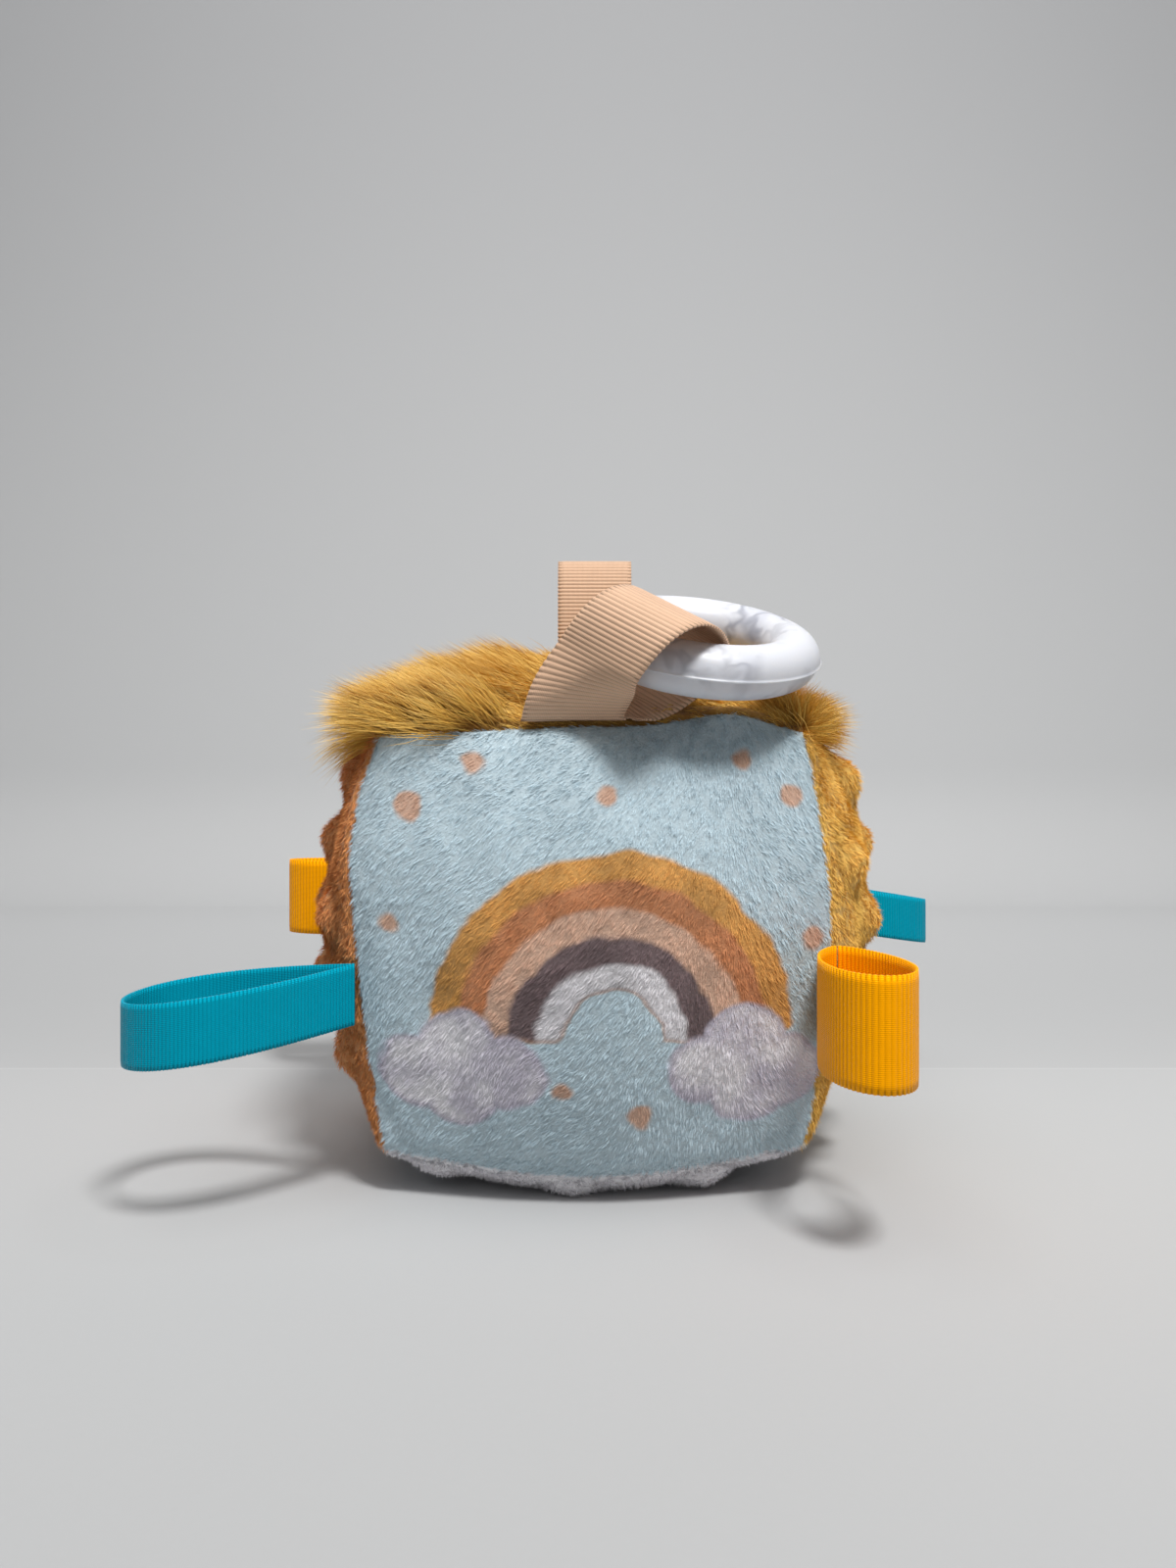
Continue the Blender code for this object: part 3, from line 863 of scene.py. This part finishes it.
# The fur's length in the middle of the top, and how much longer it is in each zone
FUR_LENGTH = 0.0120
LEFT_SIDE_LENGTH = 0.0078
LEFT_RIM_LENGTH = 0.0014
RIGHT_RIM_LENGTH = 0.0046
PRESSED_LOSS = 0.78


def left_rim(places):
    """0 over most of the top, rising to 1 at its left edge, where the fur hangs over."""
    return smooth(-places[:, 0], *LEFT_RIM)


def right_rim(places):
    """0 over most of the top, rising to 1 at its right edge, where the fur stands up in tufts."""
    return smooth(places[:, 0], *RIGHT_RIM)


def left_side(places):
    """0 on the right of the top and 1 on its left, where nothing presses on the fur."""
    return smooth(-places[:, 0], *LEFT_SIDE)


def pressed(places):
    """1 along the front edge where the strap and the ring press the fur flat, and 0 elsewhere."""
    x, y = places[:, 0], places[:, 1]
    beside = smooth(x, *PRESSED_LEFT) * (1 - smooth(x, *PRESSED_RIGHT))
    return beside * smooth(-y, *PRESSED_FRONT)


def fur_length(places):
    """How long the fur is over the top."""
    left = FUR_LENGTH + LEFT_SIDE_LENGTH * left_side(places) + LEFT_RIM_LENGTH * left_rim(places)
    return (left + RIGHT_RIM_LENGTH * right_rim(places)) * (1 - PRESSED_LOSS * pressed(places))


def fur_rise(places):
    """How steeply the fur stands over the top."""
    left = 0.90 + 0.75 * left_side(places) + 0.5 * left_rim(places)
    return left + 1.2 * right_rim(places) - 0.5 * pressed(places)


def fur_droop(places):
    """How far the fur hangs down past the top's left edge."""
    return 0.35 * left_rim(places)


# Each coat: the locks on a square metre and the blades in one; the blades' sizes in metres; how
# far they rise from lying flat, waver, bend, gather in locks, droop and turn, as shares
SHORT_PILE = {
    "density": 1.3e6,
    "per_lock": 5,
    "steps": 2,
    "spread": 0.0004,
    "sink": 0.0004,
    "length": steady(0.0025),
    "width": 0.00017,
    "rise": steady(0.45),
    "jitter": 0.14,
    "lock_jitter": 0.13,
    "bend": 0.3,
    "lock": 0.3,
    "droop": steady(0),
    "turn": 0.5,
}
MEDIUM_PILE = {
    **SHORT_PILE,
    "length": steady(0.0024),
    "width": 0.00018,
    "rise": steady(1.0),
    "jitter": 0.2,
    "lock_jitter": 0.22,
}
FUR = {
    **SHORT_PILE,
    "density": 0.36e6,
    "per_lock": 19,
    "steps": 3,
    "spread": 0.0013,
    "sink": 0.0008,
    "length": fur_length,
    "width": 0.00018,
    "rise": fur_rise,
    "jitter": 0.15,
    "lock_jitter": 0.15,
    "bend": 0.5,
    "lock": 0.32,
    "droop": fur_droop,
    "turn": 0.7,
}

# How the naps wander: how far apart the changes are and the seed of each field. Then where the
# front's pile and the fur turn.
FRONT_ASIDE = (0.03, 11)
FRONT_DOWN = (0.024, 12)
SIDE_WANDER = (0.02, 13)
BOTTOM_WANDER = (0.02, 14)
FUR_ASIDE = (0.03, 15)
FUR_FORWARDS = (0.026, 16)
FRONT_TURN = (-0.01, 0.062)
FUR_TURN_RIGHT = (0.046, 0.060)
FUR_TURN_FRONT = (0.040, 0.056)


def front_nap(places):
    """The front's pile fans out downwards."""
    x = places[:, 0]
    aside = -0.75 + 1.3 * smooth(x, *FRONT_TURN) + 0.25 * waves(places, *FRONT_ASIDE)
    down = -0.75 + 0.2 * waves(places, *FRONT_DOWN)
    return np.stack([aside, x * 0, down], axis=-1)


def down_nap(places):
    """A pile that lies downwards and a little forwards."""
    wander = 0.5 * waves(places, *SIDE_WANDER)
    return np.stack([wander, wander - 0.3, -1 + 0 * wander], axis=-1)


def bottom_nap(places):
    """The underside's pile lies forwards."""
    wander = 0.5 * waves(places, *BOTTOM_WANDER)
    return np.stack([wander, -1 + 0 * wander, 0 * wander], axis=-1)


def fur_nap(places):
    """The top's fur lies to the left and a little forwards, and turns out at its right edge."""
    x, y = places[:, 0], places[:, 1]
    aside = -1 + 1.9 * smooth(x, *FUR_TURN_RIGHT) + 0.2 * waves(places, *FUR_ASIDE)
    forwards = -0.3 + 0.4 * smooth(-y, *FUR_TURN_FRONT) + 0.25 * waves(places, *FUR_FORWARDS)
    return np.stack([aside, forwards, x * 0], axis=-1)


def area_of(obj):
    """The area of an object's faces."""
    areas = np.empty(len(obj.data.polygons), np.float32)
    obj.data.polygons.foreach_get("area", areas)
    return float(areas.sum())


def grow(name, cloth, nap, look, strand_material, seed, obstacles, part):
    """A panel's pile, grown from its cloth; part picks the roots of the locks that are kept."""
    rng = np.random.default_rng(seed)
    roots, normals = scatter(cloth, int(area_of(cloth) * look["density"]), rng)
    picked = part(roots)
    roots, normals = roots[picked], normals[picked]
    return strands(name, roots, normals, nap, look, strand_material, rng, obstacles)


# Ribbons


def teardrop(length, above, below, pinch):
    """A ribbon loop's centre line seen edge on: (along, across) from its sewn root and back."""
    half_root = (RIBBON_THICKNESS + CLEARANCE) / 2
    turns = np.linspace(0, 2 * math.pi, RIBBON_TURNS + 1)
    swells = np.sin(turns) * np.abs(np.sin(turns / 2)) ** pinch
    reach = np.where(turns < math.pi, above, below) / swells.max()
    along = length * (1 - np.cos(turns)) / 2
    across = reach * swells + half_root * (1 - turns / math.pi)
    line = np.stack([along, across], axis=-1)
    return np.concatenate([[[-ROOT_TAIL, half_root]], line, [[-ROOT_TAIL, -half_root]]])


def even(points, spacing):
    """Rows of points set again at even steps along the path of their middles."""
    middles = points.mean(1)
    hops = np.linalg.norm(np.diff(middles, axis=0), axis=-1)
    travelled = np.concatenate([[0], np.cumsum(hops)])
    count = int(travelled[-1] / spacing)
    wanted = np.linspace(0, travelled[-1], count)
    flat = points.reshape(len(points), -1)
    rows = np.stack([np.interp(wanted, travelled, flat[:, k]) for k in range(flat.shape[1])], -1)
    return rows.reshape(count, *points.shape[1:]), wanted


def ribbon(name, rows, width, pitch, ribbon_look):
    """A grosgrain ribbon through rows of points: two ribbed faces and rounded selvedges."""
    rows, travelled = even(rows, RIBBON_ROW)
    ways = unit(np.gradient(rows, axis=0))
    cross = unit(np.gradient(rows, axis=1))
    outs = unit(np.cross(cross, ways))
    columns = rows.shape[1]
    shares = np.linspace(-1, 1, columns)
    edge = smooth(np.abs(shares), SELVEDGE_SHARE, 1.0)
    rib = np.abs(np.sin(travelled * math.pi / pitch)) ** RIB_ROUNDNESS
    half = RIBBON_THICKNESS / 2 - RIB_HEIGHT / 2 + RIB_HEIGHT * rib[:, None]
    half = half * (1 - SELVEDGE_THINNING * edge)
    beside = (rib[:, None] - 0.5) * SELVEDGE_BEAD * np.sign(shares) * edge
    middle = rows + cross * beside[..., None]
    upper = middle + outs * half[..., None]
    lower = middle - outs * half[..., None]
    section = np.concatenate([upper, lower[:, ::-1]], axis=1)
    count, around = section.shape[:2]
    k = np.arange(columns - 1)
    start_cap = np.stack([k, around - 1 - k, around - 2 - k, k + 1], axis=-1)
    end_cap = start_cap[:, ::-1] + (count - 1) * around
    faces = [grid_faces(count, around, closed_columns=True), start_cap, end_cap]
    obj = mesh_object(name, section.reshape(-1, 3), faces, ribbon_look)
    number_layer(obj, "along", np.repeat(travelled, around))
    spread = np.concatenate([shares, shares[::-1]]) * width / 2
    number_layer(obj, "across", np.tile(spread, count))
    return obj


def seam_root(seam_shares, width):
    """The hinge point of a ribbon: just clear of the bowed seam all along the ribbon's width."""
    seam = np.array(seam_shares, float)
    outward = unit(np.where(np.abs(seam) == 1, seam, 0))
    middle = pillow(seam)
    bow = 0.0
    for side in (-1, 1):
        for axis in range(3):
            beside = seam.copy()
            if not outward[axis]:
                beside[axis] += side * width / 2 / (SEAM_HALF[axis] + CROWN)
                bow = max(bow, float((pillow(beside) - middle) @ outward))
    return middle + outward * (ROOT_STAND + bow)


def tag_rows(seam_shares, heading, climb, reach, opening, pinch, width):
    """Rows of points along a ribbon loop that stands out of a seam."""
    root = seam_root(seam_shares, width)
    turned = Matrix.Rotation(math.radians(heading), 3, "Z")
    along = np.array(turned @ Matrix.Rotation(math.radians(-climb), 3, "Y") @ Vector((1, 0, 0)))
    over = np.array([0.0 if abs(c) == 1 else 1.0 for c in seam_shares])
    across = unit(np.cross(over, along))
    line = teardrop(reach, opening / 2, opening / 2, pinch)
    middles = root + line[:, :1] * along + line[:, 1:] * across
    return middles[:, None] + (over * width)[None, None] * RIBBON_COLUMNS[None, :, None]


# Each tag: its place on its seam and the degrees that it heads round from +X and climbs, then
# its reach and opening, how far out its loop is widest, its width and its colour
TAGS = {
    "left_front": ((-1, -1, -0.24), 190, -7, 0.054, 0.037, 1.1, NARROW_RIBBON, TEAL),
    "right_front": ((1, -1, -0.25), -88, 0, 0.045, 0.019, 0.5, WIDE_RIBBON, ORANGE),
    "left_rear": ((-1, 1, 0), 171, 0, 0.047, 0.018, 0.8, WIDE_RIBBON, ORANGE),
    "right_rear": ((1, 1, 0), 7, -9, 0.058, 0.016, 0.8, NARROW_RIBBON, TEAL),
    "rear_top": ((0.01, 1, 1), 90, 90, 0.061, 0.013, 0.8, WIDE_RIBBON, BEIGE),
}


# The ring and its strap: where the strap's far end lies from the ring's centre, how far it
# swells over and under the rim, and how it leans and turns

STRAP_OFFSET = -0.0055
STRAP_END = (-0.0028, -0.0060, 0.0011)
STRAP_ABOVE = 0.0240
STRAP_BELOW = 0.0076
STRAP_PINCH = 0.68
STRAP_LEAN = math.radians(58)
STRAP_TURN = math.radians(-37)
STRAP_TILT = math.radians(27)
STRAP_TURN_SHARE = 0.3


def ring_frame():
    """The ring's centre, its axis and its two other directions, from its packed joint."""
    joint = next(j for j in frame["joints"] if j["name"] == "ring_spin")
    centre = np.array(sum(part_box("teething_ring"), Vector()) / 2)
    axis = unit(np.array(joint["axis"], float))
    first = unit(np.cross([0, 1, 0], axis))
    return centre, axis, first, np.cross(axis, first)


def ring_radius():
    """The radius of the middle of the ring's tube."""
    centre, axis, _, _ = ring_frame()
    places = np.array([v.co for v in frame["nodes"]["teething_ring"].data.vertices])
    away = places - centre
    flat = away - (away @ axis)[:, None] * axis
    return np.linalg.norm(flat, axis=-1).max() - RING_TUBE / 2


def ring(ring_look):
    """The teething ring: a round tube with the ridge and step of its mould's parting line."""
    centre, axis, first, second = ring_frame()
    turns = np.linspace(0, 2 * math.pi, RING_SEGMENTS, endpoint=False)
    sides = np.linspace(0, 2 * math.pi, RING_SIDES, endpoint=False)
    sides = sides - RING_SEAM_CROWDING * np.sin(sides)
    from_seam = np.minimum(sides, 2 * math.pi - sides)
    ridge = np.exp(-((from_seam / RING_SEAM_ANGLE) ** 2)) * RING_SEAM_RIDGE
    below = smooth(np.sin(sides) * -1, 0.0, 0.08) * RING_SEAM_STEP
    below = below * smooth(np.cos(sides), -0.2, 0.5)
    tube = RING_TUBE / 2 + ridge - below
    radial = ring_radius() + np.cos(sides) * tube
    height = np.sin(sides) * tube
    ways = np.cos(turns)[:, None] * first + np.sin(turns)[:, None] * second
    places = centre + ways[:, None] * radial[None, :, None] + axis * height[None, :, None]
    faces = grid_faces(RING_SEGMENTS, RING_SIDES, closed_rows=True, closed_columns=True)
    return mesh_object("marbled_ring", places.reshape(-1, 3), [faces], ring_look)


def strap_rows():
    """Rows of points along the strap that holds the ring."""
    root = seam_root((STRAP_OFFSET / SEAM_HALF[0], -1, 1), WIDE_RIBBON)
    line = ring_frame()[0] + np.array(STRAP_END) - root
    length = np.linalg.norm(line)
    along = line / length
    upright = unit(np.array([0, 0, 1]) - along * along[2])
    above = upright * math.cos(STRAP_LEAN) + np.cross(along, upright) * math.sin(STRAP_LEAN)
    path = teardrop(length, STRAP_ABOVE, STRAP_BELOW, STRAP_PINCH)
    middles = root + path[:, :1] * along + path[:, 1:] * above
    share = smooth(path[:, 0] / length, 0, STRAP_TURN_SHARE)
    turn, tilt = STRAP_TURN * share, STRAP_TILT * share
    cross = np.stack(
        [np.cos(tilt) * np.cos(turn), np.cos(tilt) * np.sin(turn), -np.sin(tilt)], axis=-1
    )
    rows = middles[:, None] + cross[:, None] * (WIDE_RIBBON * RIBBON_COLUMNS)[None, :, None]
    rest = CLEARANCE + RIBBON_THICKNESS
    rows[..., 2] = np.maximum(rows[..., 2], on_top(rows[..., 0], rows[..., 1], rest))
    return rows


# The stage: the camera, and the floor's painted light and shade with the stretches they change
# over

CAMERA_PLACE = (-0.0017, -0.349, 0.104)
LENS = 27
SENSOR = 36
FLOOR_REACH = 3.0
TABLE_EDGE = 0.081
EDGE_SOFTNESS = 0.0006
NEAR_FLOOR = (158, 159, 160)
FAR_FLOOR_PAINTED_LIGHT = (190, 191, 192)
BEHIND_EDGE = (186, 187, 188)
LOW_WALL_PAINTED_LIGHT = (210, 211, 212)
HIGH_WALL_PAINTED_SHADE = (182, 183, 185)
FLOOR_SPAN = (-0.40, 0.08)
BEHIND_SPAN = (0.10, 0.60)
WALL_SPAN = (0.05, 0.90)
WALL_PLACE = 0.75
SWEEP_RADIUS = 0.12
SWEEP_POINTS = 13
WALL_HEIGHT = 1.6
FLOOR_GRAIN = 0.0015
LAMP_COLOUR = (1.0, 0.992, 0.98)
WORLD_STRENGTH = 0.17
WORLD_COLOUR = (0.98, 0.99, 1.0, 1.0)

# The lamps: the heading and distance that each shines from, its size and its power
LAMPS = {
    "key": ((0.2, -0.62, 1.0), 1.1, 0.2, 9.8),
    "sky": ((0.0, -0.3, 1.0), 1.5, 1.6, 13.5),
}


def lamp(name, heading, distance, size, power):
    """A round lamp that shines at the block's middle from a heading."""
    made = bpy.data.lights.new(name, "AREA")
    made.shape, made.size, made.energy = "DISK", size, power
    made.color = LAMP_COLOUR
    obj = linked(name, made)
    way = Vector(heading).normalized()
    obj.location = Vector((0, 0, CENTRE_HEIGHT)) + way * distance
    obj.rotation_euler = way.to_track_quat("Z", "Y").to_euler()


def floor_material(name):
    """A pale floor and wall with painted light far off, painted shade high up and a painted
    highlight at the table's far edge.
    """
    made, tree, shader = material(name, Roughness=0.75)
    vector, (_, y, z) = place_fields(tree)
    grain = noise(tree, vector, FLOOR_GRAIN)
    tone = blend(tree, y.step(*FLOOR_SPAN), NEAR_FLOOR, FAR_FLOOR_PAINTED_LIGHT)
    behind = blend(tree, y.step(*BEHIND_SPAN), BEHIND_EDGE, LOW_WALL_PAINTED_LIGHT)
    behind = blend(tree, z.step(*WALL_SPAN), behind, HIGH_WALL_PAINTED_SHADE)
    past = y.step(TABLE_EDGE - EDGE_SOFTNESS, TABLE_EDGE + EDGE_SOFTNESS)
    # A painted highlight along the table's far edge
    line = (y - TABLE_EDGE).size().step(EDGE_SOFTNESS / 2, EDGE_SOFTNESS * 2, 0.1, 0.0)
    shade = grain * 0.02 + line + 0.99
    put(tree, shader.inputs["Base Color"], dim(tree, blend(tree, past, tone, behind), shade))
    return made


def backdrop():
    """The floor, swept up into a wall behind the block."""
    turns = np.linspace(0, math.pi / 2, SWEEP_POINTS)
    sweep_start = WALL_PLACE - SWEEP_RADIUS
    sweep = [
        (sweep_start + SWEEP_RADIUS * math.sin(t), SWEEP_RADIUS * (1 - math.cos(t))) for t in turns
    ]
    profile = [(-FLOOR_REACH, 0.0), (0.0, 0.0), *sweep, (WALL_PLACE, WALL_HEIGHT)]
    places = np.array([[(x, y, z) for x in (-FLOOR_REACH, FLOOR_REACH)] for y, z in profile])
    faces = [grid_faces(len(profile), 2)]
    floor = mesh_object("floor", places.reshape(-1, 3), faces, floor_material("pale_floor"))


def camera():
    """The camera, level in front of the block."""
    made = bpy.data.cameras.new("camera")
    made.lens, made.sensor_width = LENS, SENSOR
    obj = linked("camera", made)
    obj.location = CAMERA_PLACE
    obj.rotation_euler = (math.pi / 2, 0, 0)
    bpy.context.scene.camera = obj


def stage():
    """The backdrop, the camera, the lamps and the world's light."""
    backdrop()
    camera()
    for name, plan in LAMPS.items():
        lamp(name, *plan)
    world = bpy.data.worlds.new("world")
    world.use_nodes = True
    background = world.node_tree.nodes["Background"]
    background.inputs["Color"].default_value = WORLD_COLOUR
    background.inputs["Strength"].default_value = WORLD_STRENGTH
    bpy.context.scene.world = world
    bpy.context.scene.view_settings.view_transform = "Standard"


# The pieces, each on its body

OBSTACLE_MARGIN = 0.003


def obstacle(obj):
    """An object that pile keeps clear of: its search tree and the corners of its box."""
    places = np.array([v.co for v in obj.data.vertices])
    tree = BVHTree.FromPolygons(places.tolist(), [p.vertices[:] for p in obj.data.polygons])
    return tree, places.min(0) - OBSTACLE_MARGIN, places.max(0) + OBSTACLE_MARGIN


def build_ribbons():
    """The five tags and the ring's strap, each with its width and colour."""
    ribbons = []
    for name, (*route, width, colour) in TAGS.items():
        pitch = WIDE_RIB_PITCH if width == WIDE_RIBBON else NARROW_RIB_PITCH
        look = ribbon_material(name + "_grosgrain", colour, pitch, width)
        piece = ribbon(name + "_ribbon_loop", tag_rows(*route, width), width, pitch, look)
        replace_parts(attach(piece, name + "_ribbon"), name + "_tag")
        ribbons.append((piece, width, colour))
    look = ribbon_material("strap_grosgrain", BEIGE, WIDE_RIB_PITCH, WIDE_RIBBON)
    strap = ribbon("ring_strap_loop", strap_rows(), WIDE_RIBBON, WIDE_RIB_PITCH, look)
    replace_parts(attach(strap, "ring_strap"), "ring_loop")
    return [*ribbons, (strap, WIDE_RIBBON, BEIGE)]


def build_panel(name, axis, side, paint, nap, look, slot, seed, fill, obstacles):
    """One panel: its cloth, and its pile in two halves."""
    # The underside takes a lighter ground and lighter roots, painted light that lifts its shade
    pale = name == "bottom_panel"
    ground_painted_shade = UNDERSIDE_GROUND_PAINTED_LIGHT_AND_SHADE if pale else GROUND_PAINTED_SHADE
    cloth = panel(name, axis, side, cloth_material(name + "_knit", paint, ground_painted_shade))
    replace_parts(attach(cloth, "block"), name)
    if name == "top_panel":
        coat = fur_material("long_fur")
    else:
        coat = pile_material(name + "_pile", paint, UNDERSIDE_ROOT_PAINTED_LIGHT if pale else PILE_ROOT_PAINTED_SHADE)
    along = 1 if axis == 0 else 0
    halves = {"a": lambda p: p[:, along] < 0, "b": lambda p: p[:, along] >= 0}
    piles = [
        grow(f"{name}_pile_{half}", cloth, nap, look, coat, seed, obstacles, part)
        for half, part in halves.items()
    ]
    for piece in piles:
        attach(piece, "block")
        if name in DOTS:
            mark_dot_painted_light(piece, axis, dots_of(name, axis, side)[0])
    size = math.sqrt(area_of(cloth))


# Each panel: its axis and side, its colouring, its nap and coat, and its material's slot
PANELS = {
    "front_panel": (1, -1, front_print, front_nap, SHORT_PILE, "plush_blue"),
    "back_panel": (1, 1, plain(BLUE), down_nap, SHORT_PILE, "plush_blue"),
    "left_panel": (0, -1, plain(RUST, 14), down_nap, MEDIUM_PILE, "plush_rust"),
    "right_panel": (0, 1, plain(MUSTARD, 10), down_nap, MEDIUM_PILE, "plush_mustard"),
    "top_panel": (2, 1, plain(FUR_GROUND, 14), fur_nap, FUR, "fur_mustard"),
    "bottom_panel": (2, -1, plain(UNDERSIDE_GREY_PAINTED_LIGHT), bottom_nap, MEDIUM_PILE, "plush_grey"),
}


def build():
    """Every piece of the block, each on its own body."""
    ribbons = build_ribbons()
    marbled = ring(silicone_material("marbled_silicone"))
    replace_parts(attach(marbled, "ring"), "teething_ring")

    fill = filling(fibre_material("fibre"))
    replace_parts(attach(fill, "block"), "fibre_fill")

    obstacles = [obstacle(piece) for piece in [*(made[0] for made in ribbons), marbled]]
    for seed, (name, plan) in enumerate(PANELS.items()):
        build_panel(name, *plan, seed, fill, obstacles)

    for piece, width, colour in ribbons:
        length = area_of(piece) / 2 / width


build()
stage()
